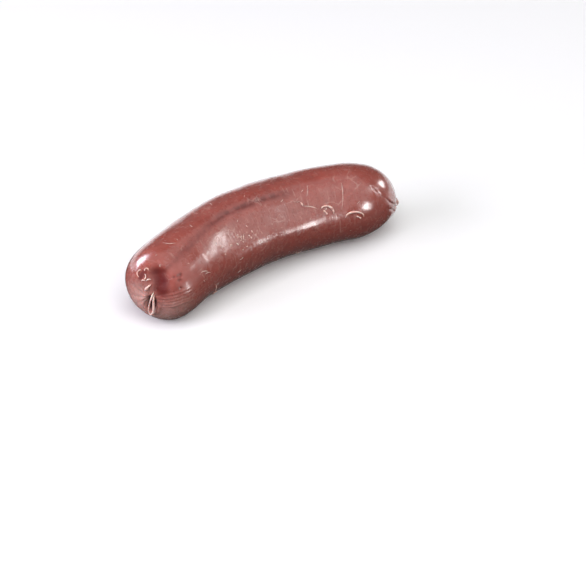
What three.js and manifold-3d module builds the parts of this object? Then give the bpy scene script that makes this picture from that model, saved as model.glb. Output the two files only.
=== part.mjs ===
// A blood sausage in a natural casing, lying on its side and bent like a banana.
// Millimetres, +Z up. The chord from tip to tip runs along X, the hollow side of the bend faces -Y,
// and the sausage rests on the pressed flat underneath it. The origin is below the middle, on the floor.
import * as THREE from 'three';
import { mergeVertices } from 'three/addons/utils/BufferGeometryUtils.js';
import Module from 'manifold-3d';

// Driving dimensions.
const LENGTH = 150.3; // along the middle line, from tip to tip
const FATTEST = 20.1; // largest radius
const BEND = 56; // how far the middle line turns from tip to tip, in degrees
const PRESSED = 0.9; // how far the underside is pressed flat by its own weight

// How full the casing is along its length: [share of the length, share of the largest radius].
const FULLNESS = [[0, 0.945], [0.28, 0.972], [0.46, 1], [0.68, 0.954], [0.88, 0.935]];

// The two rounded ends: how long each is, and how blunt (2 is round, more is squarer).
const LEFT_END = { length: 19, bluntness: 2.8 };
const RIGHT_END = { length: 26, bluntness: 1.92 };

// Mesh fineness.
const RINGS = 78;
const AROUND = 68;
const CROWDING = 0.12; // how much closer together the rings stand towards the tips

// Dents and swellings. Each follows a line on the skin through points given as
// [mm along the skin from the left tip, degrees around, mm out (in if negative)].
// Degrees around: 0 is the hollow side of the bend, 90 the top, 180 the outer side.
const RELIEF = [
  { name: 'valley over the mouth', reach: 5, line: [[14, 68, -1.4], [28, 64, -1], [44, 66, -0.4], [56, 72, 0]] },
  { name: 'furrow', reach: 2.4, line: [[34, 65, -0.2], [66, 72, -0.6], [80, 68, -0.8], [118, 70, 0]] },
  { name: 'full band', reach: 5.5, line: [[36, 84, 0.2], [66, 88, 0.5], [98, 84, 0.4], [122, 88, 0]] },
  { name: 'red hollow', reach: 3.6, line: [[13, 76, -1.5], [10.5, 58, -1.3], [8, 46, -0.6]] },
  { name: 'shoulder', reach: 5, line: [[10, 122, 0.9], [24, 112, 0.7]] },
];

// The flat cheek under the furrow: [mm along, degrees of its middle, mm cut off the round]. Under 0 it is round.
const CHEEK = [[26, 44, -2.2], [42, 42, 0.9], [60, 42, 1.5], [100, 41, 1.5], [130, 39, 0.8], [150, 38, -2.2]];
const CHEEK_EDGE = 0.8; // how softly the flat runs out into the round
const CHEEK_FADE = 10; // radius under which the flat fades, so that nothing of it is left at the tips
const STEEPEST = 0.3; // smallest cosine of the angle at which the flat is still followed

// The open mouth on the left tip is a slit with steep sides, and its lip is an oval round it.
const MOUTH = { reach: 2.4, sharpness: 3, line: [[2, 320, -1.8], [4.5, 285, -2.8], [6.5, 278, -2]] };
const LIP = { middle: [4.5, 280], halfWidth: 4.4, halfHeight: 5.4, reach: 1.3, lift: 0.5, points: 14 };

// The stub of twisted casing at the right tip, and how far that tip sags.
const TIE_NUB = { height: 0.9, reach: 1.2, sag: 4.2, sagReach: 9, collar: 3.2, collarDepth: 0.6 };

// Folds that run from each tip like a drawn purse.
const LEFT_FOLDS = { count: 13, depth: 0.28, from: 2, to: 13 };
const RIGHT_FOLDS = { count: 9, depth: 0.38, from: 1, to: 9 };

// The uneven filling under the casing: [mm high, wavelength along in mm, lobes around, phase].
const UNEVEN = [[0.24, 47, 2, 2.2], [0.14, 31, 3, 0.3], [0.06, 21, 4, 4.4], [0.03, 15, 5, 1.2]];

// Loose shreds of casing that lie on the skin: where each starts, which way it runs in degrees, its length and
// width, its thickness, and how far its middle stands off. A turn of 0 runs to the right along the sausage, or
// to the hollow side on the left tip, and 90 runs up.
const SHREDS = [
  { shape: 'hairpin', start: [9.5, 275], turn: 81, size: [13.5, 2.6], thick: 0.8, proud: 1.1 },
  { shape: 'strip', start: [3.5, 122], turn: 56, size: [5.2, 0.2], thick: 0.8, proud: 0.5 },
  { shape: 'strip', start: [42.5, 353], turn: -79, size: [10.5, 0.3], thick: 0.6, proud: 0.3 },
  { shape: 'arch', start: [117.5, 32], turn: -31, size: [7.7, 3.2], thick: 0.7, proud: 0.5 },
  { shape: 'arch', start: [131, 10], turn: -4, size: [10.6, 3.3], thick: 0.7, proud: 0.5 },
];
const TIP_DISC = 13; // within this distance of the left tip the skin is laid out as a flat disc
const ARCH_POINTS = 6;
const SHRED_SIDES = 6;
const SHRED_STEPS_PER_POINT = 4;
const SHRED_SUNK = 0.3; // share of a shred's thickness that is sunk in the skin

const radians = THREE.MathUtils.degToRad;
const degrees = THREE.MathUtils.radToDeg;
const smooth = (t) => t * t * (3 - 2 * t);

// Reads the values of a table of [station, values...] at a place, levelling out at each station.
function readTable(table, at) {
  const next = table.findIndex(([station]) => station >= at);
  if (next <= 0) return table.at(next).slice(1);
  const [a, ...low] = table[next - 1];
  const [b, ...high] = table[next];
  const share = smooth((at - a) / (b - a));
  return low.map((value, i) => THREE.MathUtils.lerp(value, high[i], share));
}

// The share of the largest radius at a share of the length.
const fullness = (share) => readTable(FULLNESS, share)[0];

// The outline from the left tip to the right one: x along the middle line, y out from it.
class Outline extends THREE.Curve {
  getPoint(t, target = new THREE.Vector3()) {
    const straight = LENGTH - LEFT_END.length - RIGHT_END.length;
    const shares = [LEFT_END.length, straight, RIGHT_END.length].map((part) => part / LENGTH);
    const inLeft = t < shares[0];
    const inRight = t > 1 - shares[2];
    let x = LENGTH * t;
    let roundness = 1;
    if (inLeft || inRight) {
      const end = inLeft ? LEFT_END : RIGHT_END;
      const turn = (inLeft ? t / shares[0] : (1 - t) / shares[2]) * Math.PI / 2;
      const inset = end.length * (1 - Math.cos(turn) ** (2 / end.bluntness));
      x = inLeft ? inset : LENGTH - inset;
      roundness = Math.sin(turn) ** (2 / end.bluntness);
    }
    return target.set(x, FATTEST * fullness(x / LENGTH) * roundness, 0);
  }
}
const outline = new Outline();
outline.arcLengthDivisions = 2000;
const SKIN_LENGTH = outline.getLength();

// The frame of the bent middle line at a distance along it.
function middle(along) {
  const bendRadius = LENGTH / radians(BEND);
  const turned = (along - LENGTH / 2) / bendRadius;
  const share = along / LENGTH;
  return {
    place: new THREE.Vector3(
      bendRadius * Math.sin(turned),
      bendRadius * (Math.cos(turned) - 1),
      FATTEST * fullness(share) - PRESSED,
    ),
    forward: new THREE.Vector3(Math.cos(turned), -Math.sin(turned), 0),
    hollowSide: new THREE.Vector3(-Math.sin(turned), -Math.cos(turned), 0),
  };
}

// A point of the plain skin with its outward direction, before any relief.
function plainSkin(skinAlong, around) {
  const share = THREE.MathUtils.clamp(skinAlong / SKIN_LENGTH, 0, 1);
  const at = outline.getPointAt(share);
  const run = outline.getTangentAt(THREE.MathUtils.clamp(share, 1e-4, 1 - 1e-4));
  if (at.y < 0.01) run.set(0, share < 0.5 ? 1 : -1, 0);
  const { place, forward, hollowSide } = middle(at.x);
  const out = hollowSide.multiplyScalar(Math.cos(around)).add(new THREE.Vector3(0, 0, Math.sin(around)));
  const normal = out.clone().multiplyScalar(run.x).addScaledVector(forward, -run.y).normalize();
  return { point: place.addScaledVector(out, at.y), normal, radius: at.y };
}

// Points round an oval from its middle, between two angles in degrees.
function oval(halfWidth, halfHeight, from, to, count) {
  return Array.from({ length: count }, (_, i) => {
    const turn = radians(THREE.MathUtils.lerp(from, to, i / (count - 1)));
    return [halfWidth * Math.cos(turn), halfHeight * Math.sin(turn)];
  });
}

// Lays a flat outline on the skin: its points in mm, turned about its start.
function laid([along, around], turn, outlinePoints) {
  const [c, s] = [Math.cos(radians(turn)), Math.sin(radians(turn))];
  return outlinePoints.map(([ahead, aside]) => {
    const x = ahead * c - aside * s;
    const y = ahead * s + aside * c;
    if (along > TIP_DISC) return [along + x, around + degrees(y / FATTEST)];
    const across = along * Math.cos(radians(around)) + x;
    const up = along * Math.sin(radians(around)) + y;
    return [Math.hypot(across, up), degrees(Math.atan2(up, across))];
  });
}

const onSkin = ([along, around]) => plainSkin(along, radians(around)).point;

function reliefLine({ reach, sharpness = 2, line }) {
  return { reach, sharpness, points: line.map(onSkin), heights: line.map((point) => point[2]) };
}

const lipOval = oval(LIP.halfWidth, LIP.halfHeight, 0, 360, LIP.points);
const lipLine = laid(LIP.middle, 0, lipOval).map((place) => [...place, LIP.lift]);
const reliefLines = [...RELIEF, { reach: LIP.reach, line: lipLine }].map(reliefLine);
const mouthLine = reliefLine(MOUTH);

// How far the flat cheek cuts into the round skin.
function cheekAt(along, around, radius) {
  const [middleDegrees, depth] = readTable(CHEEK, along);
  const flat = (radius - depth) / Math.max(Math.cos(around - radians(middleDegrees)), STEEPEST);
  return -CHEEK_EDGE * Math.log1p(Math.exp((radius - flat) / CHEEK_EDGE)) * Math.min(1, radius / CHEEK_FADE);
}

// How far a relief line lifts a point, falling off with the distance to the line.
function liftFromLine(point, { reach, sharpness, points, heights }) {
  let nearest = Infinity;
  let height = 0;
  const closest = new THREE.Vector3();
  for (let i = 1; i < points.length; i++) {
    const stretch = new THREE.Line3(points[i - 1], points[i]);
    const t = stretch.closestPointToPointParameter(point, true);
    const distance = stretch.at(t, closest).distanceTo(point);
    if (distance < nearest) {
      nearest = distance;
      height = THREE.MathUtils.lerp(heights[i - 1], heights[i], t);
    }
  }
  return height * Math.exp(-((nearest / reach) ** sharpness));
}

// Purse folds: sharp valleys between round ridges, fading away from the tip.
function foldsAt(fromTip, around, { count, depth, from, to }) {
  const fadeIn = smooth(THREE.MathUtils.clamp(fromTip / from, 0, 1));
  const fadeOut = Math.exp(-((fromTip / to) ** 2));
  const wave = Math.abs(Math.sin(around * count / 2 + 0.7 * Math.sin(3 * around)));
  return depth * fadeIn * fadeOut * (wave - 0.7);
}

function unevenAt(along, around, roundness) {
  return UNEVEN.reduce((sum, [high, wavelength, lobes, phase]) => (
    sum + high * Math.sin(2 * Math.PI * along / wavelength + phase) * Math.cos(lobes * around + 2 * phase)
  ), 0) * roundness ** 2;
}

function nubAt(fromRightTip) {
  const stub = TIE_NUB.height * Math.exp(-((fromRightTip / TIE_NUB.reach) ** 2));
  const collar = TIE_NUB.collarDepth * Math.exp(-(((fromRightTip - TIE_NUB.collar) / TIE_NUB.reach) ** 2));
  return stub - collar;
}

// A point of the finished skin, with the mouth open or bridged over.
// Nothing goes below the floor, which leaves the pressed flat.
function skin(skinAlong, around, { lift = 0, bridged = false } = {}) {
  const { point, normal, radius } = plainSkin(skinAlong, around);
  const fromRight = SKIN_LENGTH - skinAlong;
  const raised = lift
    + (bridged ? 0 : liftFromLine(point, mouthLine))
    + reliefLines.reduce((sum, line) => sum + liftFromLine(point, line), 0)
    + cheekAt(skinAlong, around, radius)
    + foldsAt(skinAlong, around, LEFT_FOLDS)
    + foldsAt(fromRight, around, RIGHT_FOLDS)
    + unevenAt(skinAlong, around, radius / FATTEST)
    + nubAt(fromRight);
  point.addScaledVector(normal, raised);
  point.z -= TIE_NUB.sag * Math.exp(-((fromRight / TIE_NUB.sagReach) ** 2));
  point.z = Math.max(point.z, 0);
  return point;
}

// The body: a globe of rings whose poles become the two tips.
function bodyGeometry() {
  const globe = new THREE.SphereGeometry(1, AROUND, RINGS);
  const position = globe.getAttribute('position');
  const vertex = new THREE.Vector3();
  for (let i = 0; i < position.count; i++) {
    vertex.fromBufferAttribute(position, i);
    const share = Math.acos(THREE.MathUtils.clamp(vertex.y, -1, 1)) / Math.PI;
    const crowded = share - CROWDING * Math.sin(2 * Math.PI * share);
    const around = Math.atan2(vertex.x, vertex.z);
    position.setXYZ(i, ...skin(crowded * SKIN_LENGTH, around));
  }
  return globe;
}

// The flat outline of a shred that starts at the origin and runs ahead.
const shredOutlines = {
  hairpin: (long, wide) => [
    [long, wide * 0.3], [long * 0.7, wide * 0.3], [long * 0.2, wide / 2], [0, 0],
    [long * 0.2, -wide / 2], [long * 0.7, -wide * 0.3], [long * 0.9, -wide * 0.3],
  ],
  arch: (long, high) => oval(long / 2, high, 180, 0, ARCH_POINTS).map(([x, y]) => [long / 2 + x, y]),
  strip: (long, bow) => [[0, 0], [long / 3, bow], [long * 2 / 3, bow], [long, 0]],
};

// A shred: a thin closed tube that follows its outline over the skin, and bridges the mouth.
function shredGeometry({ shape, start, turn, size, thick, proud }) {
  const sunk = thick * (0.5 - SHRED_SUNK);
  const line = laid(start, turn, shredOutlines[shape](...size));
  const points = line.map(([along, around], i) => {
    const middleShare = Math.sin(Math.PI * i / (line.length - 1));
    return skin(along, radians(around), { lift: sunk + proud * middleShare, bridged: true });
  });
  const section = new THREE.Shape();
  for (let i = 0; i < SHRED_SIDES; i++) {
    const turn = 2 * Math.PI * i / SHRED_SIDES;
    section[i ? 'lineTo' : 'moveTo'](thick / 2 * Math.cos(turn), thick / 2 * Math.sin(turn));
  }
  return new THREE.ExtrudeGeometry(section, {
    extrudePath: new THREE.CatmullRomCurve3(points),
    steps: SHRED_STEPS_PER_POINT * (line.length - 1),
    bevelEnabled: false,
  });
}

// Joins the shreds to the body, so that the sausage stays one solid.
const wasm = await Module();
wasm.setup();

function toSolid(geometry) {
  geometry.deleteAttribute('normal');
  geometry.deleteAttribute('uv');
  const merged = mergeVertices(geometry, 1e-4);
  return new wasm.Manifold(new wasm.Mesh({
    numProp: 3,
    vertProperties: merged.getAttribute('position').array,
    triVerts: new Uint32Array(merged.index.array),
  }));
}

function toGeometry(solid) {
  const mesh = solid.getMesh();
  const geometry = new THREE.BufferGeometry();
  geometry.setAttribute('position', new THREE.BufferAttribute(mesh.vertProperties, 3));
  geometry.setIndex(new THREE.BufferAttribute(mesh.triVerts, 1));
  return geometry;
}

const joined = SHREDS.map(shredGeometry).map(toSolid)
  .reduce((body, shred) => body.add(shred), toSolid(bodyGeometry()));
const geometry = toGeometry(joined);

// Puts the origin on the floor below the middle of the bounding box.
geometry.computeBoundingBox();
const centre = geometry.boundingBox.getCenter(new THREE.Vector3());
geometry.translate(-centre.x, -centre.y, -geometry.boundingBox.min.z);
geometry.computeVertexNormals();

const casing = new THREE.MeshStandardMaterial({ color: 0x87504a, roughness: 0.35, metalness: 0 });
const sausage = new THREE.Mesh(geometry, casing);
sausage.name = 'blood_sausage';

const group = new THREE.Group();
group.add(sausage);
export default group;
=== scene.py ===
"""A blood sausage in natural casing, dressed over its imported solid."""

import functools
import math
import random

import bmesh
import bpy
import numpy as np
from bpy.props import FloatProperty, FloatVectorProperty, IntProperty, PointerProperty
from mathutils import Matrix, Vector, noise


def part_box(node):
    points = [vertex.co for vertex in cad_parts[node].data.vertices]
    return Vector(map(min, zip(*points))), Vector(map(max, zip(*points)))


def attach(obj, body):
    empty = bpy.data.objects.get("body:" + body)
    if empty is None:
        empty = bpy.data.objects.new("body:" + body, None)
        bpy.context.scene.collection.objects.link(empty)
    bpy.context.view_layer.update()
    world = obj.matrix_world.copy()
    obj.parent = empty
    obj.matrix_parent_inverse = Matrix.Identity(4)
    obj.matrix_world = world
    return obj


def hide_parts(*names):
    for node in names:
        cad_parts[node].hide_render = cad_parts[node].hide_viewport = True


bl_info = {
    "name": "Blood sausage",
    "version": (1, 0, 0),
    "blender": (4, 5, 0),
    "location": "View3D > Sidebar > Sausage",
    "description": "A blood sausage in natural casing on a pale studio floor",
    "category": "Object",
}

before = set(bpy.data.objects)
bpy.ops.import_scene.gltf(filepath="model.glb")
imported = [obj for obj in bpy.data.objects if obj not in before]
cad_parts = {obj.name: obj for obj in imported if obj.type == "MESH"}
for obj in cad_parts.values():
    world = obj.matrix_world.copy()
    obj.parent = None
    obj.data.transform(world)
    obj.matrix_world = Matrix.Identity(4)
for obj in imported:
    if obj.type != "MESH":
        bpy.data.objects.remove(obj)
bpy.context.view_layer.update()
NODE = "blood_sausage"
BODY = "root"

# The size of a millimetre in the scene.
MM = 0.001

# How full the casing is: share of the length, share of the largest radius.
FULLNESS = ((0, 0.945), (0.28, 0.972), (0.46, 1), (0.68, 0.954), (0.88, 0.935))
OUTLINE_STEPS = 20001

# How much closer the rings lie at the tips, where the forms are finest.
TIP_CROWDING = 0.12

# Every place on the skin is given as millimetres along it from the left tip and degrees around.
# 0 degrees is the hollow side of the bend, 90 the top and 180 the outer side.
# In a form the third number is how far the line lifts the skin, in millimetres.
FORMS = (
    # The valley that runs up from the mouth, and the furrow that it narrows to.
    (5.0, ((14, 68, -1.4), (28, 64, -1.0), (44, 66, -0.4), (56, 72, 0.0))),
    (2.2, ((34, 65, -0.2), (54, 71, -0.35), (66, 72, -0.5),
           (80, 68, -0.6), (97, 65, -0.45), (118, 70, -0.1))),
    # The full band above the furrow.
    (5.5, ((36, 84, 0.2), (66, 88, 0.5), (98, 84, 0.4), (122, 88, 0.0))),
    # The red hollow over the mouth.
    (3.6, ((13, 76, -1.5), (10.5, 58, -1.3), (8, 46, -0.6))),
    # The round shoulder behind the hollow.
    (5.0, ((10, 122, 0.9), (24, 112, 0.7))),
    # The sharp upper edge of the furrow, where the full band rolls over it.
    (1.0, ((52, 76, 0.0), (64, 77, -0.45), (80, 73, -0.5), (94, 71, -0.4), (106, 73, 0.0))),
)

# The flat cheek below the furrow: along, the degrees of its middle and its depth. Under 0 it is round.
CHEEK = ((26, 44, -2.2), (42, 42, 0.9), (60, 42, 1.5), (100, 41, 1.5), (130, 39, 0.8), (150, 38, -2.2))
# How softly the cheek meets the round skin, and the least cosine that is used away from its middle.
CHEEK_EDGE, CHEEK_LEAST = 0.8, 0.3

# The mouth is a slit down the left tip, from its upper to its lower end.
MOUTH = (2.4, ((2, 320, -1.8), (4.5, 285, -2.8), (6.5, 278, -2.0)))
# Its lip and the fold round the chin are ovals round a middle that lies below the tip.
# Each has a reach, half its width and height, a lift, and the angles where it starts and ends.
MOUTH_MIDDLE = (4.5, 280)
LIP = (1.3, 4.4, 5.4, 0.5, 0, 360)
CHIN = (1.1, 7.5, 8.5, 0.3, 165, 300)

# The fan of wrinkles to the right of the mouth: the spread in degrees where it starts and ends.
FAN_COUNT = 5
FAN_ALONG = (7, 24)
FAN_START = (20, -36)
FAN_END = (18, -4)
FAN_REACH, FAN_LIFT = 0.6, 0.3

# The creases by the right tip, the first with a raised lower edge.
CREASES = (
    (0.5, ((148, 54, -0.2), (150, 48, -0.8), (155, 35, -0.1))),
    (0.45, ((149, 46, 0.15), (151, 40, 0.3), (153, 34, 0.1))),
    (0.6, ((154, 37, 0.0), (160, 21, -0.6), (167, 0, -0.8))),
    (0.6, ((157, 7, 0.0), (164, 346, -0.6))),
)

# The cluster of small pits below the valley: how many, where, how far they spread, the radius of the
# skin there, how far each reaches and how deep it is.
PITS = {"count": 10, "along": 19.8, "degrees": 40, "spread": 2.6, "radius": 17, "reach": 0.55, "depth": 0.4}

# Slow unevenness of the filling: height, wavelength along, lobes around, phase.
UNEVEN = ((0.24, 47, 2, 2.2), (0.14, 31, 3, 0.3), (0.06, 21, 4, 4.4), (0.03, 15, 5, 1.2))
# Small lumps of the filling: their height and size.
FINE_LUMPS = ((0.06, 7.0), (0.025, 2.2))

# Drawn-purse folds at the tips: count, depth, where they start and where they fade.
LEFT_FOLDS = (13, 0.28, 2.0, 13.0)
RIGHT_FOLDS = (9, 0.38, 1.0, 9.0)
# How unevenly the folds are spaced, and the share of their depth that is cut into the skin.
FOLD_SWAY, FOLD_SUNK = 0.7, 0.7

# The stub of twisted casing at the right tip.
NUB = {"height": 0.9, "reach": 1.2, "sag": 4.2, "sag_reach": 9.0, "collar": 3.2, "collar_depth": 0.6}

# Within this distance of the left tip the skin is laid out as a flat disc, in millimetres.
TIP_DISC = 13

# Loose shreds of casing: shape, place of its start, turn, its two sizes, thickness and how far it stands off.
# A turn of 0 runs to the right along the sausage, or on the tip's disc to the hollow side; 90 runs up.
SHREDS = (
    # The hairpin across the mouth.
    ("hairpin", (9.5, 275), 81, (13.5, 2.6), 1.15, 1.0),
    # The stick and the curls above it.
    ("strip", (3.5, 122), 56, (5.2, 0.2), 1.2, 0.6),
    ("arch", (10.5, 118), 84, (3.4, 1.5), 0.7, 0.6),
    ("arch", (13.0, 104), -78, (2.8, 1.2), 0.65, 0.5),
    ("arch", (9.5, 106), 96, (2.4, -0.9), 0.6, 0.5),
    ("strip", (8.5, 116), 20, (2.2, 0.6), 0.7, 0.4),
    ("strip", (8.5, 100), 30, (2.6, 0.4), 0.7, 0.4),
    # The hair under the cheek, with its loop.
    ("strip", (42.5, 353), -79, (10.5, 0.3), 0.6, 0.4),
    ("ring", (46, 325), 60, (3.2, 1.8), 0.5, 0.3),
    # The two arches on the ridge, with the twigs in them.
    ("arch", (117.5, 32), -31, (7.7, 3.2), 1.0, 0.6),
    ("strip", (119, 30), -56, (3.2, 0.2), 0.8, 0.2),
    ("arch", (130.5, 12), -7, (11.0, 3.3), 1.05, 0.6),
    ("strip", (137, 12), -35, (3.4, 0.2), 0.8, 0.2),
    # The stub and the lead to the first arch.
    ("strip", (108, 51), -75, (2.4, 0.2), 0.85, 0.25),
    ("strip", (109, 44), -25, (8.0, 0.4), 0.38, 0.05),
    # Fine threads that lie flat.
    ("strip", (132, 81), -98, (20.0, 1.2), 0.24, 0.0),
    ("strip", (115, 75), -113, (7.0, 0.4), 0.2, 0.0),
    ("strip", (30.5, 100), -62, (7.0, -1.0), 0.24, 0.0),
    ("strip", (32.5, 26), -20, (5.8, 0.4), 0.4, 0.1),
    ("strip", (35, 20), -16, (4.8, 0.3), 0.4, 0.1),
    ("strip", (102.5, 322), 0, (4.4, -0.3), 0.4, 0.1),
    ("strip", (66, 38), -59, (3.1, 0.3), 0.4, 0.1),
    ("strip", (69.5, 37), -125, (3.0, 0.3), 0.4, 0.1),
)
# Stray hairs of casing all over the skin, laid out as if its radius were the same everywhere.
HAIRS = {
    "count": 30, "along": (14, 158), "degrees": (-60, 240), "radius": 19,
    "long": (1.0, 3.2), "curl": 0.8, "steps": 3, "thick": (0.22, 0.34), "proud": 0.08,
}
# Bright flecks on the wrinkled part of the cheek, pale casing that is partly painted glints, round the middle
# that is given.
FLECKS = {
    "count": 22, "along": 67, "degrees": 30, "spread": (6.0, 9.0),
    "long": (0.7, 1.5), "bow": 0.1, "thick": (0.35, 0.6), "proud": 0.1,
}
# Every shred is a flattened strand. It has sides around, rings for each stretch of its line, and a share of
# its thickness that its middle lies off the skin. Its girth swells and shrinks in waves along its length,
# whose start shifts with its thickness.
STRAND = {
    "sides": 8, "rings": 8, "rest": 0.18, "flatness": 0.7,
    "bluntness": 2.2, "girth": 0.85, "swell": 0.25, "swells": 9, "shift": 40,
}
SEED = 7

# What sets parts of the casing apart is marked along lines on the skin.
# Each has a reach, a sharpness, and places with along, degrees and strength. 2 is soft, 4 has an edge.
MARKED_LINES = (
    # Deep red in the hollow over the mouth, darkened further with painted shade, and painted shade under the
    # curls above it.
    ("hollow", 4.0, 4, ((13.5, 76, 0.9), (11, 60, 1), (8.5, 42, 0.9))),
    ("hollow", 1.3, 4, ((10.5, 116, 0.8), (12.5, 106, 0.8))),
    # Painted shade inside the mouth.
    ("mouth", 2.3, 4, ((2, 320, 1), (4.5, 285, 1), (6.5, 278, 1))),
    # The edges of the furrow, dark red with painted shade where the full band rolls over it.
    ("furrow", 1.9, 2, ((16, 68, 0.7), (30, 65, 0.6), (44, 68, 0.5), (56, 75, 0.8),
                        (68, 76, 0.9), (82, 72, 1.0), (98, 70, 0.8), (112, 72, 0))),
    ("furrow", 1.9, 2, ((50, 84, 0.0), (60, 82, 0.4), (74, 80, 0.4), (88, 77, 0.3), (100, 78, 0.0))),
    # Pale fibres along the left end, the fine wrinkles of the cheek, and the pale chin, whose paleness is
    # partly painted sheen.
    ("fibrous", 5.5, 2, ((8, 350, 1), (22, 358, 1), (32, 6, 1))),
    ("wrinkled", 5, 2, ((46, 48, 1), (62, 44, 1), (76, 26, 1), (96, 20, 1), (122, 14, 1))),
    ("blanched", 7, 2, ((5, 190, 1), (12, 230, 1), (16, 262, 1), (14, 300, 0.9), (16, 345, 0.6))),
    # Dull, drier skin between the hollow and the cheek.
    ("dull", 5, 2, ((18, 46, 1), (22, 34, 1), (26, 30, 1), (30, 30, 1))),
)
# How far the fibres and the veil reach from the left tip, and the pale bead from the right one.
FIBROUS_END, VEILED_END, BEAD = 12, 15, 1.3
# The veil over the cheek, partly painted sheen: degrees of its middle and how far it reaches, where it starts
# and ends, and over how much of the length it comes and goes.
VEILED_CHEEK = {"degrees": 42, "reach": 27, "start": 30, "end": 158, "ease": 25}
# How far the painted shade round a pit reaches.
PIT_SHADE_REACH = 0.7

FLOOR_SIZE = 12
# The white card on the floor behind the sausage, and how far it lies from the sausage's middle.
CARD_SIZE, CARD_GAP = 1.2, 0.03
# Each light has a name, the setting that holds its strength, degrees to the right of straight behind the
# sausage as the camera sees it, degrees up, its distance, its width and height, and its tint.
# The first ones light the skin but would be too strong for its gloss, which shows the sheen light instead.
SKIN_LIGHTS = (
    ("key", "key_light", 140, 66, 1.1, (1.6, 1.6), "ffffff"),
    ("left fill", "fill_light", -112, 20, 1.0, (0.9, 0.7), "f6f2ff"),
    ("right fill", "right_fill_light", 120, 8, 1.0, (0.4, 0.3), "ffffff"),
)
# These show only as highlights, so that they don't light the shaded side.
GLOSS_LIGHTS = (
    ("sheen", "sheen_light", 140, 68, 0.9, (1.6, 1.6), "ffffff"),
    ("left softbox", "left_light", -72, 30, 0.9, (0.38, 0.62), "e4eeff"),
    ("left haze", "haze_light", -72, 33, 0.9, (0.46, 1.0), "e4eeff"),
    ("right softbox", "right_light", 86, 30, 0.9, (0.12, 0.13), "ffffff"),
    ("back right softbox", "back_light", 60, 18, 0.9, (0.18, 0.2), "ffffff"),
    ("strip", "strip_light", 126, 7, 0.9, (0.16, 0.3), "ffffff"),
)
# The point in the middle of the picture, to the right of the origin and above it as the camera sees it.
AIM = (0.01687, -0.01436)
SENSOR_WIDTH = 36
CAMERA_CLIP = (0.05, 20)

# The Mix node's sockets for colours, which share their names with its sockets for numbers.
MIX_SHARE, MIX_FIRST, MIX_SECOND, MIX_RESULT = 0, 6, 7, 2
# The Map Range node's setting for a stretch with soft ends.
SMOOTH = {"interpolation_type": "SMOOTHSTEP"}


def linear(hex_colour):
    """Turns an sRGB hex value such as "8a4f47" to the linear numbers that a shader reads."""
    channels = [int(hex_colour[i:i + 2], 16) / 255 for i in (0, 2, 4)]
    return tuple(c / 12.92 if c <= 0.04045 else ((c + 0.055) / 1.055) ** 2.4 for c in channels)


def colour_setting(name, description, hex_colour):
    """A colour that the user can change."""
    return FloatVectorProperty(
        name=name, description=description, default=linear(hex_colour), size=3, subtype="COLOR", min=0, max=1)


def light_setting(name, light, watts):
    """The strength of a light, which the user can change."""
    return FloatProperty(name=name, description="Strength of " + light, default=watts, unit="POWER")


class SausageShape(bpy.types.PropertyGroup):
    """Sizes of the sausage."""

    length: FloatProperty(
        name="Length", description="Along the middle line, from tip to tip",
        default=0.1503, unit="LENGTH")
    radius: FloatProperty(
        name="Largest radius", description="Where the casing is fullest",
        default=0.0201, unit="LENGTH")
    bend: FloatProperty(
        name="Bend", description="How far the middle line turns from tip to tip",
        default=math.radians(56), subtype="ANGLE")
    pressed: FloatProperty(
        name="Pressed flat", description="How far its weight presses the underside flat",
        default=0.0009, unit="LENGTH")
    left_end: FloatProperty(
        name="Left end", description="Length of the blunt left end", default=0.019, unit="LENGTH")
    left_bluntness: FloatProperty(
        name="Left bluntness", description="2 is round, more is squarer", default=2.8)
    right_end: FloatProperty(
        name="Right end", description="Length of the tapered right end", default=0.026, unit="LENGTH")
    right_bluntness: FloatProperty(
        name="Right bluntness", description="2 is round, less is more pointed", default=1.92)
    rings: IntProperty(name="Rings", description="Rings of the skin from tip to tip", default=300)
    around: IntProperty(name="Around", description="Faces around the skin", default=320)


class CasingFinish(bpy.types.PropertyGroup):
    """Colours and gloss of the casing and of the filling that shows through it."""

    filling: colour_setting("Filling", "Cooked blood filling seen through the casing", "93463c")
    dark_filling: colour_setting("Dark filling", "Where the filling is darker and wetter", "732e27")
    # Partly the casing's greyish bloom, partly painted sheen.
    veil: colour_setting("Veil", "Greyish bloom of the casing where it stands off the filling", "985f57")
    # Dark red with painted shade along the furrow's edges.
    furrow: colour_setting("Furrow", "Dark red along the edges of the furrow", "5c1d18")
    # Deep red, darkened with painted shade in the hollow and under the curls.
    hollow: colour_setting("Hollow", "Deep red in the hollow over the mouth", "560505")
    # Painted shade inside the mouth.
    mouth: colour_setting("Mouth", "The dark inside of the mouth", "34171a")
    membrane: colour_setting("Membrane", "Pale fibres and shreds of casing", "ecc8bc")
    roughness: FloatProperty(
        name="Roughness", description="Of the damp casing", default=0.3, min=0, max=1)
    wetness: FloatProperty(
        name="Wetness", description="Weight of the film of moisture", default=0.65, min=0, max=1)


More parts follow.
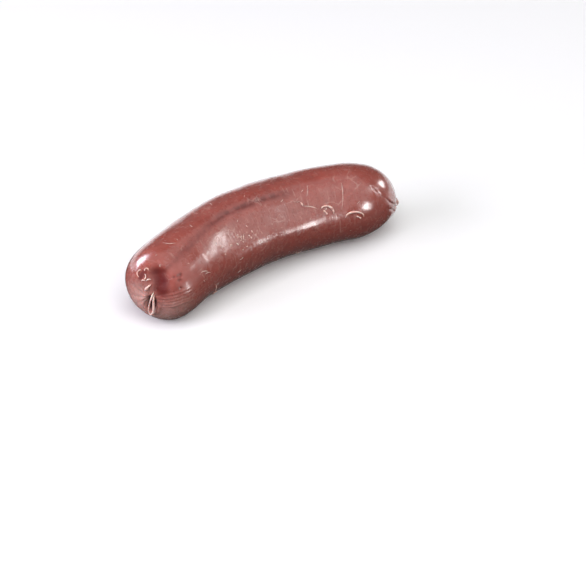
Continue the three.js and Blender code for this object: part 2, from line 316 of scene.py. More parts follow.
class StudioSettings(bpy.types.PropertyGroup):
    """Floor, lights and camera."""

    floor: colour_setting("Floor", "Colour of the floor", "f4f4f4")
    key_light: light_setting("Key", "the wide light above the camera", 17.2)
    fill_light: light_setting("Left fill", "the wide light on the left", 14)
    right_fill_light: light_setting("Right fill", "the low light on the right", 1.8)
    sheen_light: light_setting("Sheen", "the wide light that shows in the gloss", 6)
    left_light: light_setting("Left softbox", "the softbox on the left", 11)
    haze_light: light_setting("Left haze", "the dim panel round the left softbox", 5.0)
    right_light: light_setting("Right softbox", "the small softbox on the right", 1.3)
    back_light: light_setting("Back right softbox", "the small softbox behind, on the right", 2.1)
    strip_light: light_setting("Strip", "the low light in front", 5.5)
    room_light: FloatProperty(
        name="Room", description="Brightness of the room all round", default=0.1)
    card_glow: FloatProperty(
        name="Card", description="How bright the white card behind the sausage looks in its gloss",
        default=0.28)
    azimuth: FloatProperty(
        name="Camera azimuth", description="Around the sausage",
        default=math.radians(-34.97), subtype="ANGLE")
    elevation: FloatProperty(
        name="Camera elevation", description="Above the floor",
        default=math.radians(36.7), subtype="ANGLE")
    lens: FloatProperty(
        name="Lens", description="Focal length in millimetres", default=267.4, subtype="DISTANCE_CAMERA")
    distance: FloatProperty(
        name="Camera distance", description="To the point in the middle of the picture",
        default=2.098, unit="LENGTH")


def smooth(t):
    """Eases a share from 0 to 1."""
    t = np.clip(t, 0, 1)
    return t * t * (3 - 2 * t)


def eased(at, stations, values):
    """Reads values between stations, levelling out at each of them."""
    stations, values = np.array(stations, float), np.array(values, float)
    at = np.clip(at, stations[0], stations[-1])
    left = np.clip(np.searchsorted(stations, at, side="left") - 1, 0, len(stations) - 2)
    share = (at - stations[left]) / (stations[left + 1] - stations[left])
    return values[left] + (values[left + 1] - values[left]) * smooth(share)


def fullness(share):
    """The share of the largest radius at each share of the length."""
    return eased(share, *zip(*FULLNESS))


def laid(place, turn, points, radius):
    """Lays a flat outline on the skin: its points in millimetres, turned about its start."""
    along, degrees = place
    c, s = math.cos(math.radians(turn)), math.sin(math.radians(turn))
    start = math.radians(degrees)
    spots = []
    for ahead, aside in points:
        x, y = ahead * c - aside * s, ahead * s + aside * c
        if along < TIP_DISC:
            x, y = along * math.cos(start) + x, along * math.sin(start) + y
            spots.append((math.hypot(x, y), math.degrees(math.atan2(y, x))))
        else:
            spots.append((along + x, degrees + math.degrees(y / radius)))
    return tuple(spots)


def oval(wide, tall, start, end, steps=14):
    """Points round an oval from its middle, with half its width and height."""
    turns = np.radians(np.linspace(start, end, steps))
    return tuple(zip(wide * np.cos(turns), tall * np.sin(turns)))


def shred_outline(shape, long, wide):
    """The flat outline of a shred that starts at the origin and runs ahead."""
    if shape == "hairpin":
        return ((long, 0.3), (long * 0.72, wide * 0.22), (long * 0.2, wide / 2), (0, 0),
                (long * 0.2, -wide / 2), (long * 0.7, -wide * 0.26), (long * 0.9, -0.3))
    if shape == "ring":
        return oval(long / 2, wide / 2, -150, 200, 8)
    if shape == "arch":
        return tuple((long / 2 + x, y) for x, y in oval(long / 2, wide, 180, 0, 6))
    return ((0, 0), (long / 3, wide), (long * 2 / 3, wide), (long, 0))


def fan_lines():
    """The wrinkles that spread to the right from the mouth, and lie closer together further on."""
    for turn, end in zip(np.linspace(*FAN_START, FAN_COUNT), np.linspace(*FAN_END, FAN_COUNT)):
        middle = (turn + 2 * end) / 3
        start, stop = FAN_ALONG
        yield FAN_REACH, ((start, turn, FAN_LIFT * 0.5), (start + (stop - start) * 0.3, middle, FAN_LIFT),
                          (start + (stop - start) * 0.6, end, FAN_LIFT), (stop, end, 0.05))


def tip_fold(reach, wide, tall, lift, start, end):
    """A fold that runs round the mouth, with its ends fading out where it isn't a whole ring."""
    spots = laid(MOUTH_MIDDLE, 0, oval(wide, tall, start, end), 1)
    whole = end - start == 360
    lifts = [lift if whole else lift * math.sin(math.pi * i / (len(spots) - 1)) for i in range(len(spots))]
    return reach, tuple((*spot, height) for spot, height in zip(spots, lifts))


def pit_places():
    """Places of the pits, drawn at random round the middle of their cluster."""
    draw = random.Random(SEED)
    middle, spread = (PITS["along"], PITS["degrees"]), PITS["spread"]
    offsets = [(draw.gauss(0, spread / 2), draw.gauss(0, spread)) for _ in range(PITS["count"])]
    return laid(middle, 0, offsets, PITS["radius"])


class Skin:
    """The sausage's surface in millimetres, before it is set on the floor."""

    def __init__(self, shape):
        self.length = shape.length / MM
        self.radius = shape.radius / MM
        self.bend = shape.bend
        self.pressed = shape.pressed / MM
        self.make_outline(shape)
        forms = FORMS + CREASES + (tip_fold(*LIP), tip_fold(*CHIN), *fan_lines())
        self.lines = [self.line(reach, points) for reach, points in forms]
        self.mouth = self.line(*MOUTH)
        self.pits = self.plain(*np.array(pit_places(), float).T)[0]
        self.find_seat()

    def make_outline(self, shape):
        """Tabulates the outline from tip to tip: distance along the skin, along and out."""
        steps = np.linspace(0, 1, OUTLINE_STEPS)
        left, right = shape.left_end / MM, shape.right_end / MM
        x = self.length * steps
        roundness = np.ones_like(steps)
        for end, bluntness, share, from_left in (
            (left, shape.left_bluntness, steps / (left / self.length), True),
            (right, shape.right_bluntness, (1 - steps) / (right / self.length), False),
        ):
            inside = share < 1
            turn = share[inside] * math.pi / 2
            inset = end * (1 - np.cos(turn) ** (2 / bluntness))
            x[inside] = inset if from_left else self.length - inset
            roundness[inside] = np.sin(turn) ** (2 / bluntness)
        y = self.radius * fullness(x / self.length) * roundness
        self.outline = np.stack([x, y], 1)
        run = np.hypot(np.diff(x), np.diff(y))
        self.along = np.concatenate([[0], np.cumsum(run)])
        self.total = self.along[-1]
        slope = np.stack([np.gradient(x, self.along), np.gradient(y, self.along)], 1)
        slope[0], slope[-1] = (0, 1), (0, -1)
        self.slope = slope

    def find_seat(self):
        """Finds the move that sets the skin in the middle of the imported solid's box."""
        low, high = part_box(NODE)
        rings, step = 300, 2
        along, degrees = np.meshgrid(np.linspace(0, self.total, rings), np.arange(0, 360, step))
        points = self.at(along.ravel(), degrees.ravel())[0]
        self.middle = (points.min(0) + points.max(0))[:2] / 2
        self.seat = np.array([(low[0] + high[0]) / 2, (low[1] + high[1]) / 2])

    def settled(self, points):
        """Sets points in metres on the floor, with nothing below it."""
        placed = points * MM
        placed[:, :2] += self.seat - self.middle * MM
        placed[:, 2] = np.maximum(placed[:, 2], 0)
        return placed

    def plain(self, along, degrees):
        """Points, outward normals and radii of the smooth skin."""
        along = np.clip(np.asarray(along, float), 0, self.total)
        turn = np.radians(degrees)
        x, radius = (np.interp(along, self.along, self.outline[:, i]) for i in (0, 1))
        run = np.stack([np.interp(along, self.along, self.slope[:, i]) for i in (0, 1)], -1)
        bend_radius = self.length / self.bend
        heading = (x - self.length / 2) / bend_radius
        share = x / self.length
        zero = np.zeros_like(x)
        place = np.stack([
            bend_radius * np.sin(heading),
            bend_radius * (np.cos(heading) - 1),
            self.radius * fullness(share) - self.pressed,
        ], -1)
        forward = np.stack([np.cos(heading), -np.sin(heading), zero], -1)
        hollow_side = np.stack([-np.sin(heading), -np.cos(heading), zero], -1)
        up = np.array([0, 0, 1.0])
        out = hollow_side * np.cos(turn)[..., None] + up * np.sin(turn)[..., None]
        normal = out * run[..., :1] - forward * run[..., 1:]
        normal /= np.maximum(np.linalg.norm(normal, axis=-1, keepdims=True), 1e-9)
        return place + out * radius[..., None], normal, radius

    def line(self, reach, points):
        """A form's line as places on the smooth skin."""
        along, degrees, heights = np.array(points, float).T
        return reach, self.plain(along, degrees)[0], heights

    @staticmethod
    def off_line(points, line):
        """How far each point is from a form's line, and the line's height there."""
        nearest = np.full(len(points), np.inf)
        height = np.zeros(len(points))
        _, places, heights = line
        for i in range(len(places) - 1):
            stretch = places[i + 1] - places[i]
            t = np.clip((points - places[i]) @ stretch / (stretch @ stretch), 0, 1)
            gap = np.linalg.norm(points - places[i] - t[:, None] * stretch, axis=1)
            closer = gap < nearest
            nearest = np.where(closer, gap, nearest)
            height = np.where(closer, heights[i] + (heights[i + 1] - heights[i]) * t, height)
        return nearest, height

    def lift(self, points, line, sharpness=2):
        """How far a form lifts each point."""
        gap, height = self.off_line(points, line)
        return height * np.exp(-((gap / line[0]) ** sharpness))

    def folds(self, from_tip, degrees, folds):
        """Sharp valleys between round ridges that fade away from the tip."""
        count, depth, start, end = folds
        turn = np.radians(degrees)
        wave = np.abs(np.sin(turn * count / 2 + FOLD_SWAY * np.sin(3 * turn)))
        return depth * smooth(from_tip / start) * np.exp(-((from_tip / end) ** 2)) * (wave - FOLD_SUNK)

    def uneven(self, along, degrees, radius):
        """The slow unevenness of the filling."""
        turn = np.radians(degrees)
        raised = np.zeros_like(along)
        for high, wavelength, lobes, phase in UNEVEN:
            wave = np.sin(2 * math.pi * along / wavelength + phase)
            raised += high * wave * np.cos(lobes * turn + 2 * phase)
        return raised * (radius / self.radius) ** 2

    @staticmethod
    def cheek(along, degrees, radius):
        """How far the flat cheek cuts into the round skin, with a soft edge."""
        stations, middles, depths = np.array(CHEEK, float).T
        turn = np.radians((degrees - eased(along, stations, middles) + 180) % 360 - 180)
        flat = (radius - eased(along, stations, depths)) / np.maximum(np.cos(turn), CHEEK_LEAST)
        return -CHEEK_EDGE * np.log1p(np.exp(-(flat - radius) / CHEEK_EDGE))

    def at(self, along, degrees, lift=0, mouth=True):
        """Points of the finished skin with their normals, with the mouth open or bridged."""
        along, degrees = np.atleast_1d(np.asarray(along, float)), np.atleast_1d(np.asarray(degrees, float))
        points, normal, radius = self.plain(along, degrees)
        from_right = self.total - along
        raised = self.cheek(along, degrees, radius) + lift
        for line in self.lines:
            raised += self.lift(points, line)
        if mouth:
            raised += self.lift(points, self.mouth, sharpness=3)
        for pit in self.pits:
            gap = np.linalg.norm(points - pit, axis=1)
            raised -= PITS["depth"] * np.exp(-((gap / PITS["reach"]) ** 2))
        raised += self.folds(along, degrees, LEFT_FOLDS)
        raised += self.folds(from_right, degrees, RIGHT_FOLDS)
        raised += self.uneven(along, degrees, radius)
        raised += NUB["height"] * np.exp(-((from_right / NUB["reach"]) ** 2))
        raised -= NUB["collar_depth"] * np.exp(-(((from_right - NUB["collar"]) / NUB["reach"]) ** 2))
        points = points + normal * raised[:, None]
        points[:, 2] -= NUB["sag"] * np.exp(-((from_right / NUB["sag_reach"]) ** 2))
        return points, normal


def fine_lumps(points, normal, height, size, seed):
    """Small lumps of the filling under the casing."""
    offset = Vector((seed * 3.1, seed * 1.7, seed * 2.3))
    raised = np.array([noise.noise(Vector(p) / size + offset) for p in points])
    return points + normal * (raised * height)[:, None]


def globe(around, rings):
    """Rolls a grid into a ball of rings, whose poles become the tips."""
    mesh = bmesh.new()
    bmesh.ops.create_grid(mesh, x_segments=around, y_segments=rings, size=1)
    for vertex in mesh.verts:
        turn, fall = math.pi * vertex.co.x, math.pi * (1 - vertex.co.y) / 2
        vertex.co = (math.sin(fall) * math.cos(turn), math.sin(fall) * math.sin(turn), math.cos(fall))
    bmesh.ops.remove_doubles(mesh, verts=mesh.verts, dist=1e-5)
    bmesh.ops.recalc_face_normals(mesh, faces=mesh.faces)
    return mesh


def add_object(name, mesh, material):
    """Links an object made of a finished mesh."""
    data = bpy.data.meshes.new(name)
    mesh.to_mesh(data)
    mesh.free()
    data.materials.append(material)
    made = bpy.data.objects.new(name, data)
    bpy.context.scene.collection.objects.link(made)
    return made


def make_piece(name, mesh, material):
    """Makes a finished piece, which rides on the sausage's body."""
    piece = add_object(name, mesh, material)
    piece.data.shade_smooth()
    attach(piece, BODY)
    return piece


def set_inputs(node, inputs):
    """Sets a node's inputs, each to a value or by a link from another node's output."""
    for socket, value in inputs.items():
        if isinstance(value, bpy.types.NodeSocket):
            node.id_data.links.new(value, node.inputs[socket])
        else:
            node.inputs[socket].default_value = value


def add_node(tree, kind, inputs=None, output=0, **settings):
    """Adds one node with its settings and links, and returns one of its outputs."""
    node = tree.nodes.new("ShaderNode" + kind)
    for name, value in settings.items():
        setattr(node, name, value)
    set_inputs(node, inputs or {})
    return node.outputs[output]


def new_material(name):
    """A material with nothing but a gloss shader, and its tree."""
    material = bpy.data.materials.new(name)
    material.use_nodes = True
    tree = material.node_tree
    tree.nodes.clear()
    surface = add_node(tree, "BsdfPrincipled")
    set_inputs(tree.nodes.new("ShaderNodeOutputMaterial"), {"Surface": surface})
    return material, tree, surface.node


def casing_material(finish, mark_names):
    """Natural hog casing over cooked blood filling.

    The casing is a thin, damp gut: the eye sees the dark red filling through a greyish veil, partly painted
    sheen, a net of pale fibres in the gut's wall, and soft wet highlights that its fine wrinkles break up.
    """
    material, tree, shader = new_material("Damp natural hog casing over blood filling")
    node = functools.partial(add_node, tree)
    place = node("Attribute", output="Vector", attribute_name="casing_mm")
    mark = {name: node("Attribute", output="Fac", attribute_name=name) for name in mark_names}

    def lumps(size_mm, stretch=(1, 1, 1), detail=2.0, distortion=0.0):
        """Noise with lumps of one size, drawn out where the stretch is under 1."""
        scaled = node("Mapping", {"Vector": place, "Scale": tuple(s / size_mm for s in stretch)})
        return node("TexNoise", {
            "Vector": scaled, "Scale": 1.0, "Detail": detail, "Distortion": distortion})

    def spots(size_mm, low, high, stretch=(1, 1, 1), detail=2.0, least=0.0, most=1.0):
        """Spots of one size with soft edges, where the noise rises from low to high."""
        return node("MapRange", {
            "Value": lumps(size_mm, stretch, detail), "From Min": low, "From Max": high,
            "To Min": least, "To Max": most}, **SMOOTH)

    # Clouds of filling 14 mm wide, blotches of 4 mm and specks of 1.2 mm.
    clouds = spots(14, 0.38, 0.66)
    blotches = spots(4.0, 0.42, 0.7, detail=3.0)
    specks = spots(1.2, 0.5, 0.75)
    # The veil, partly painted sheen, is strong where it is marked, weak elsewhere and stronger in the clouds.
    strong = node("MapRange", {"Value": clouds, "To Min": 0.45, "To Max": 0.8}, **SMOOTH)
    strong = node("Math", {0: mark["veil"], 1: strong}, operation="MULTIPLY")
    faint_veil_sheen = node("MapRange", {"Value": clouds, "To Min": 0.15, "To Max": 0.35}, **SMOOTH)
    veil_and_sheen = node("Math", {0: strong, 1: faint_veil_sheen}, operation="MAXIMUM")
    # The painted shade along the furrow's edges comes and goes in steps of 2.5 mm.
    ragged_furrow_shade = spots(2.5, 0.35, 0.6, detail=3.0, least=0.45)

    # Fibres of the gut's wall: a bent net with meshes of 7 mm by 10 mm, and streaks along and across.
    warp = node("TexNoise", {"Vector": place, "Scale": 0.22, "Detail": 3.0}, "Color")
    warp = node("VectorMath", {0: warp, "Scale": 5.0}, operation="SCALE")
    bent = node("VectorMath", {0: place, 1: warp}, operation="ADD")
    meshes = node("Mapping", {"Vector": bent, "Scale": (1 / 7, 1 / 7, 1 / 10)})
    edges = node("TexVoronoi", {"Vector": meshes, "Scale": 1.0}, "Distance", feature="DISTANCE_TO_EDGE")
    net = node("MapRange", {"Value": edges, "From Min": 0.05, "From Max": 0.0}, **SMOOTH)
    veins = node("Math", {0: net, 1: spots(9, 0.5, 0.68, detail=1.0)}, operation="MULTIPLY")
    along_fibres = node("Math", {
        0: spots(0.9, 0.56, 0.76, (1, 1, 0.08)), 1: mark["fibrous"]}, operation="MULTIPLY")
    across_fibres = node("Math", {
        0: spots(1.0, 0.58, 0.78, (0.12, 0.12, 1)),
        1: spots(11, 0.45, 0.62, detail=1.0)}, operation="MULTIPLY")
    fibres = node("Math", {0: along_fibres, 1: across_fibres}, operation="MAXIMUM")
    # Pale flecks of 1 mm where the casing is wrinkled, partly painted glints.
    flecks = node("Math", {
        0: spots(1.0, 0.6, 0.72, (0.6, 0.6, 1), detail=1.0), 1: mark["wrinkled"]}, operation="MULTIPLY")

    # Each layer lies over the ones before it: where it is, how strong it is, and its colour.
    colour = (*finish.filling, 1)
    for where, strength, tint in (
        # The veil, partly painted sheen.
        (veil_and_sheen, 1.0, finish.veil),
        (blotches, 0.25, finish.dark_filling),
        (specks, 0.1, finish.veil),
        # Painted shade along the furrow's edges.
        (mark["furrow"], ragged_furrow_shade, finish.furrow),
        (veins, 0.18, finish.membrane),
        (fibres, 0.25, finish.membrane),
        # The pale chin, partly painted sheen.
        (mark["blanched"], 0.42, finish.membrane),
        # Pale flecks, partly painted glints.
        (flecks, 0.3, finish.membrane),
        # The hollow's deep red, partly painted shade.
        (mark["hollow"], 0.95, finish.hollow),
        # Painted shade round the pits.
        (mark["pitted"], 0.6, finish.furrow),
        (mark["bead"], 0.8, finish.membrane),
        # Painted shade inside the mouth.
        (mark["mouth"], 1.0, finish.mouth),
    ):
        share = node("Math", {0: where, 1: strength}, operation="MULTIPLY")
        colour = node("Mix", {
            MIX_SHARE: share, MIX_FIRST: colour, MIX_SECOND: (*tint, 1)}, MIX_RESULT, data_type="RGBA")

    # The taut casing is smoother than the slack casing over the cheek and the left end.
    creased = node("Math", {0: mark["wrinkled"], 1: mark["veil"]}, operation="MAXIMUM")
    # The hollow, the furrow and the skin beside the hollow are dull, and carry less moisture.
    dull = node("Math", {0: mark["furrow"], 1: 0.6}, operation="MULTIPLY")
    for name in ("dull", "hollow"):
        dull = node("Math", {0: dull, 1: mark[name]}, operation="MAXIMUM")
    gloss = spots(2.2, 0.3, 0.7, detail=3.0, least=finish.roughness - 0.14, most=finish.roughness)
    for where, rougher in ((creased, 0.08), (dull, 0.4)):
        gloss = node("Math", {0: where, 1: rougher, 2: gloss}, operation="MULTIPLY_ADD")
    film = node("Math", {
        0: dull, 1: -0.9 * finish.wetness, 2: finish.wetness}, operation="MULTIPLY_ADD")
    # Wrinkles of 0.8 mm and grain of 0.45 mm, the finest that the picture can show.
    creasing = node("MapRange", {"Value": creased, "To Min": 0.15, "To Max": 1.1}, **SMOOTH)
    wrinkles = lumps(1.6, (1, 1, 0.5), distortion=0.4)
    height = node("Math", {0: wrinkles, 1: creasing}, operation="MULTIPLY")
    graining = node("MapRange", {"Value": creased, "To Min": 0.05, "To Max": 2.6}, **SMOOTH)
    grain = node("Math", {0: lumps(0.9, (0.22, 0.22, 1)), 1: graining}, operation="MULTIPLY")
    for ridges, strength in ((grain, 0.4), (veins, 0.35), (fibres, 0.1)):
        height = node("Math", {0: ridges, 1: strength, 2: height}, operation="MULTIPLY_ADD")

    set_inputs(shader, {
        "Base Color": colour,
        "Roughness": gloss,
        "Normal": node("Bump", {"Height": height, "Strength": 0.32, "Distance": 0.4 * MM}),
        "IOR": 1.5,
        "Subsurface Weight": 0.35,
        "Subsurface Radius": (1.0, 0.35, 0.25),
        "Subsurface Scale": 2 * MM,
        "Coat Weight": film,
        "Coat Roughness": 0.19,
        "Coat IOR": 1.4,
    })
    return material


def shred_material(finish):
    """Torn natural casing: thin strips of gut, pale, pinkish and a little see-through."""
    material, tree, shader = new_material("Torn strips of natural casing")
    place = add_node(tree, "TexCoord", output="Object")
    # Thin and thick stretches of 1.5 mm.
    thin = add_node(tree, "TexNoise", {"Vector": place, "Scale": 1 / (1.5 * MM), "Detail": 3.0})
    share = add_node(tree, "MapRange", {"Value": thin, "From Min": 0.42, "From Max": 0.85}, **SMOOTH)
    set_inputs(shader, {
        "Base Color": add_node(tree, "Mix", {
            MIX_SHARE: share, MIX_FIRST: (*finish.membrane, 1), MIX_SECOND: (*finish.veil, 1),
        }, MIX_RESULT, data_type="RGBA"),
        "Roughness": 0.42,
        "Normal": add_node(tree, "Bump", {"Height": thin, "Strength": 0.3, "Distance": 0.3 * MM}),
        "IOR": 1.42,
        "Subsurface Weight": 0.5,
        "Subsurface Radius": (1.0, 0.5, 0.4),
        "Subsurface Scale": MM,
        "Coat Weight": 0.2,
        "Coat Roughness": 0.2,
    })
    return material


def write_attribute(data, name, values):
    """Keeps one number, or three, for each point of a mesh."""
    kind, key = ("FLOAT_VECTOR", "vector") if values.ndim == 2 else ("FLOAT", "value")
    data.attributes.new(name, kind, "POINT").data.foreach_set(key, values.astype(np.float32).ravel())


class SAUSAGE_OT_skin(bpy.types.Operator):
    """Make the filled casing with its furrow, folds and mouth"""

    bl_idname = "sausage.skin"
    bl_label = "Filled casing"

    def execute(self, context):
        shape, finish = context.scene.sausage_shape, context.scene.sausage_finish
        skin = Skin(shape)
        mesh = globe(shape.around, shape.rings)
        unit = np.array([v.co for v in mesh.verts])
        share = np.arccos(np.clip(unit[:, 2], -1, 1)) / math.pi
        along = (share - TIP_CROWDING * np.sin(2 * math.pi * share)) * skin.total
        degrees = np.degrees(np.arctan2(unit[:, 1], unit[:, 0]))
        points, normal = skin.at(along, degrees)
        smooth_points, _, radius = skin.plain(along, degrees)
        for seed, (height, size) in enumerate(FINE_LUMPS, 1):
            points = fine_lumps(points, normal, height, size, seed)
        for vertex, place in zip(mesh.verts, skin.settled(points)):
            vertex.co = place
        marks = self.marks(skin, smooth_points, along, degrees)
        piece = make_piece("filled_casing", mesh, casing_material(finish, marks))
        turn = np.radians(degrees)
        write_attribute(piece.data, "casing_mm", np.stack(
            [radius * np.cos(turn), radius * np.sin(turn), along], 1))
        for name, strength in marks.items():
            write_attribute(piece.data, name, strength)
        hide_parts(NODE)
        return {"FINISHED"}

    @staticmethod
    def marks(skin, points, along, degrees):
        """How strongly each point shows what sets parts of the casing apart."""
        side = (degrees - VEILED_CHEEK["degrees"] + 180) % 360 - 180
        from_start = (along - VEILED_CHEEK["start"]) / VEILED_CHEEK["ease"]
        from_end = (VEILED_CHEEK["end"] - along) / VEILED_CHEEK["ease"]
        cheek = np.exp(-((side / VEILED_CHEEK["reach"]) ** 4)) * smooth(from_start) * smooth(from_end)
        pit_gap = np.min([np.linalg.norm(points - pit, axis=1) for pit in skin.pits], 0)
        marks = {
            "fibrous": np.exp(-((along / FIBROUS_END) ** 2)),
            "veil": np.maximum(cheek, np.exp(-((along / VEILED_END) ** 4))),
            "pitted": np.exp(-((pit_gap / PIT_SHADE_REACH) ** 2)),
            "bead": np.exp(-(((skin.total - along) / BEAD) ** 4)),
        }
        for name, reach, sharpness, line in MARKED_LINES:
            gap, strength = skin.off_line(points, skin.line(reach, line))
            marks[name] = np.maximum(marks.get(name, 0), strength * np.exp(-((gap / reach) ** sharpness)))
        return marks


class SAUSAGE_OT_shreds(bpy.types.Operator):
    """Make the loose shreds and hairs of casing that lie on the skin"""

    bl_idname = "sausage.shreds"
    bl_label = "Casing shreds"

    def execute(self, context):
        shape, finish = context.scene.sausage_shape, context.scene.sausage_finish
        skin = Skin(shape)
        draw = random.Random(SEED)
        shreds = []
        for kind, place, turn, sizes, thick, proud in SHREDS:
            shreds.append((thick, proud, laid(place, turn, shred_outline(kind, *sizes), skin.radius)))
        for _ in range(HAIRS["count"]):
            along, degrees = draw.uniform(*HAIRS["along"]), draw.uniform(*HAIRS["degrees"])
            length, heading = draw.uniform(*HAIRS["long"]), draw.uniform(0, 2 * math.pi)
            curl = draw.uniform(-HAIRS["curl"], HAIRS["curl"])
            points = [(along, degrees)]
            for step in range(HAIRS["steps"]):
                turn = heading + curl * step / HAIRS["steps"]
                along += math.cos(turn) * length / HAIRS["steps"]
                degrees += math.degrees(math.sin(turn) * length / HAIRS["steps"] / HAIRS["radius"])
                points.append((along, degrees))
            shreds.append((draw.uniform(*HAIRS["thick"]), HAIRS["proud"], points))
        for _ in range(FLECKS["count"]):
            wide, high = FLECKS["spread"]
            place = (draw.gauss(FLECKS["along"], wide), draw.gauss(FLECKS["degrees"], high))
            outline = shred_outline("strip", draw.uniform(*FLECKS["long"]), FLECKS["bow"])
            thick, turn = draw.uniform(*FLECKS["thick"]), draw.uniform(0, 360)
            shreds.append((thick, FLECKS["proud"], laid(place, turn, outline, skin.radius)))
        whole = bmesh.new()
        for shred in shreds:
            self.add_shred(whole, skin, *shred)
        make_piece("casing_shreds", whole, shred_material(finish))
        return {"FINISHED"}

    @staticmethod
    def add_shred(whole, skin, thick, proud, line):
        """Draws out a ball into a strand that follows its line over the skin."""
        stations = np.linspace(0, 1, len(line))
        along, degrees = np.array(line, float).T
        lift = thick * STRAND["rest"] + proud * np.sin(math.pi * stations)
        places, normals = skin.at(along, degrees, lift, mouth=False)
        mesh = globe(STRAND["sides"], STRAND["rings"] * (len(line) - 1))
        unit = np.array([v.co for v in mesh.verts])
        share = np.arccos(np.clip(unit[:, 2], -1, 1)) / math.pi
        centre, normal = spline(stations, places, share), spline(stations, normals, share)
        step = 0.01
        ahead = spline(stations, places, np.minimum(share + step, 1))
        run = ahead - spline(stations, places, np.maximum(share - step, 0))
        run /= np.linalg.norm(run, axis=1, keepdims=True)
        side = np.cross(run, normal)
        side /= np.linalg.norm(side, axis=1, keepdims=True)
        rise = np.cross(side, run)
        ends = np.minimum(1, np.sin(math.pi * share) * STRAND["bluntness"])
        swell = STRAND["swell"] * np.sin(STRAND["swells"] * share + STRAND["shift"] * thick)
        half = thick / 2 * ends * (STRAND["girth"] + swell)
        angle = np.arctan2(unit[:, 1], unit[:, 0])
        across, up = np.cos(angle) * half, -np.sin(angle) * half * STRAND["flatness"]
        points = centre + side * across[:, None] + rise * up[:, None]
        for vertex, place in zip(mesh.verts, skin.settled(points)):
            vertex.co = place
        data = bpy.data.meshes.new("strand")
        mesh.to_mesh(data)
        mesh.free()
        whole.from_mesh(data)
        bpy.data.meshes.remove(data)


def spline(stations, values, at):
    """A smooth curve through places in space, read at the given shares."""
    slopes = np.gradient(values, stations, axis=0)
    left = np.clip(np.searchsorted(stations, at, side="right") - 1, 0, len(stations) - 2)
    gap = (stations[left + 1] - stations[left])[:, None]
    t = (at[:, None] - stations[left][:, None]) / gap
    return ((2 * t**3 - 3 * t**2 + 1) * values[left] + (t**3 - 2 * t**2 + t) * gap * slopes[left]
            + (3 * t**2 - 2 * t**3) * values[left + 1] + (t**3 - t**2) * gap * slopes[left + 1])


def view_axes(studio):
    """The camera's level right and away directions, and the direction back to it."""
    a, e = studio.azimuth, studio.elevation
    right = Vector((math.cos(a), math.sin(a), 0))
    away = Vector((-math.sin(a), math.cos(a), 0))
    back = -away * math.cos(e) + Vector((0, 0, math.sin(e)))
    return right, away, back


def add_light(studio, name, setting, degrees_right, degrees_up, distance, size, tint):
    """A soft studio light that points at the sausage and that the camera doesn't see."""
    right, away, _ = view_axes(studio)
    turn, rise = math.radians(degrees_right), math.radians(degrees_up)
    level = right * math.sin(turn) + away * math.cos(turn)
    place = (level * math.cos(rise) + Vector((0, 0, math.sin(rise)))) * distance
    data = bpy.data.lights.new(name, "AREA")
    data.shape = "RECTANGLE"
    data.size, data.size_y = size
    data.energy = getattr(studio, setting)
    data.color = linear(tint)
    light = bpy.data.objects.new(name, data)
    light.location = place
    light.rotation_mode = "QUATERNION"
    light.rotation_quaternion = place.to_track_quat("Z", "Y")
    light.visible_camera = False
    bpy.context.scene.collection.objects.link(light)
    return light


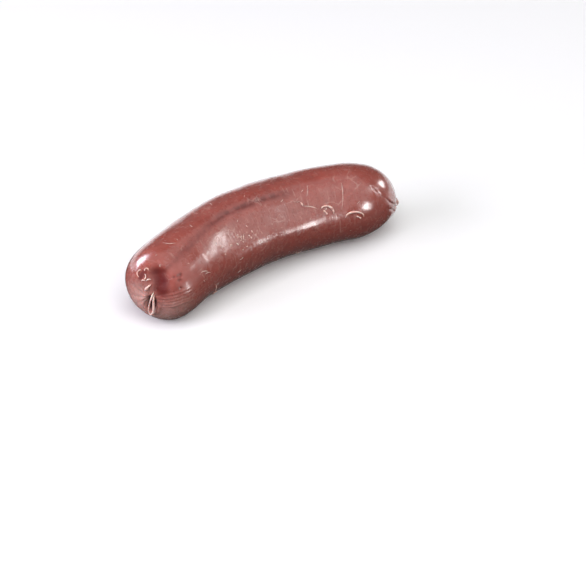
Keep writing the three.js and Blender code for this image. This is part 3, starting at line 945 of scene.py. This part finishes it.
class SAUSAGE_OT_studio(bpy.types.Operator):
    """Set up the pale floor, the soft lights and the camera"""

    bl_idname = "sausage.studio"
    bl_label = "Studio"

    def execute(self, context):
        studio = context.scene.sausage_studio
        self.add_floor(studio)
        for light in SKIN_LIGHTS:
            add_light(studio, *light).visible_glossy = False
        for light in GLOSS_LIGHTS:
            add_light(studio, *light).visible_diffuse = False
        self.add_card(studio)
        self.set_room(context.scene, studio)
        self.add_camera(context.scene, studio)
        return {"FINISHED"}

    @staticmethod
    def add_floor(studio):
        """Lays the floor, whose glare would wash out the dark underside, so it doesn't light the sausage."""
        mesh = bmesh.new()
        bmesh.ops.create_grid(mesh, x_segments=1, y_segments=1, size=FLOOR_SIZE / 2)
        # Paper scatters the light, and its faint gloss is dull.
        material, _, shader = new_material("Matt white studio paper")
        set_inputs(shader, {"Base Color": (*studio.floor, 1), "Roughness": 0.7, "Specular IOR Level": 0.2})
        floor = add_object("studio_floor", mesh, material)
        floor.visible_diffuse = False
        floor.visible_glossy = False

    @staticmethod
    def add_card(studio):
        """Lays a white card behind the sausage, seen only in the gloss of its far edge."""
        _, away, _ = view_axes(studio)
        place = away * (CARD_SIZE / 2 + CARD_GAP) + Vector((0, 0, MM))
        mesh = bmesh.new()
        bmesh.ops.create_grid(mesh, x_segments=1, y_segments=1, size=CARD_SIZE / 2)
        bmesh.ops.rotate(mesh, verts=mesh.verts, matrix=Matrix.Rotation(studio.azimuth, 3, "Z"))
        bmesh.ops.translate(mesh, verts=mesh.verts, vec=place)
        # The card glows as if a lamp of its own shone on it.
        material, _, shader = new_material("White card")
        set_inputs(shader, {
            "Base Color": (*studio.floor, 1),
            "Emission Color": (1, 1, 1, 1),
            "Emission Strength": studio.card_glow,
        })
        card = add_object("white_card", mesh, material)
        card.visible_camera = False
        card.visible_diffuse = False
        card.visible_shadow = False

    @staticmethod
    def set_room(scene, studio):
        """Sets the dim white room all round, and colours that are shown as they are."""
        world = scene.world or bpy.data.worlds.new("Studio")
        scene.world = world
        world.use_nodes = True
        background = next(n for n in world.node_tree.nodes if n.type == "BACKGROUND")
        set_inputs(background, {"Color": (1, 1, 1, 1), "Strength": studio.room_light})
        scene.view_settings.view_transform = "Standard"
        scene.view_settings.look = "None"

    @staticmethod
    def add_camera(scene, studio):
        """Sets the camera at the photograph's viewing angle."""
        right, _, back = view_axes(studio)
        up = back.cross(right)
        data = bpy.data.cameras.new("camera")
        data.lens = studio.lens
        data.sensor_width = SENSOR_WIDTH
        data.clip_start, data.clip_end = CAMERA_CLIP
        camera = bpy.data.objects.new("camera", data)
        camera.location = right * AIM[0] + up * AIM[1] + back * studio.distance
        camera.rotation_mode = "QUATERNION"
        camera.rotation_quaternion = back.to_track_quat("Z", "Y")
        scene.collection.objects.link(camera)
        scene.camera = camera


class SAUSAGE_PT_panel(bpy.types.Panel):
    """Sizes, finish and studio of the sausage"""

    bl_label = "Blood sausage"
    bl_idname = "SAUSAGE_PT_panel"
    bl_space_type = "VIEW_3D"
    bl_region_type = "UI"
    bl_category = "Sausage"

    def draw(self, context):
        scene = context.scene
        for group in (scene.sausage_shape, scene.sausage_finish, scene.sausage_studio):
            box = self.layout.box()
            for name in group.__annotations__:
                box.prop(group, name)
        for operator in (SAUSAGE_OT_skin, SAUSAGE_OT_shreds, SAUSAGE_OT_studio):
            self.layout.operator(operator.bl_idname)


CLASSES = (
    SausageShape, CasingFinish, StudioSettings,
    SAUSAGE_OT_skin, SAUSAGE_OT_shreds, SAUSAGE_OT_studio, SAUSAGE_PT_panel,
)


def register():
    for cls in CLASSES:
        bpy.utils.register_class(cls)
    bpy.types.Scene.sausage_shape = PointerProperty(type=SausageShape)
    bpy.types.Scene.sausage_finish = PointerProperty(type=CasingFinish)
    bpy.types.Scene.sausage_studio = PointerProperty(type=StudioSettings)


def unregister():
    for name in ("sausage_studio", "sausage_finish", "sausage_shape"):
        delattr(bpy.types.Scene, name)
    for cls in reversed(CLASSES):
        bpy.utils.unregister_class(cls)


def main():
    register()
    bpy.ops.sausage.skin()
    bpy.ops.sausage.shreds()
    bpy.ops.sausage.studio()


if __name__ == "__main__":
    main()
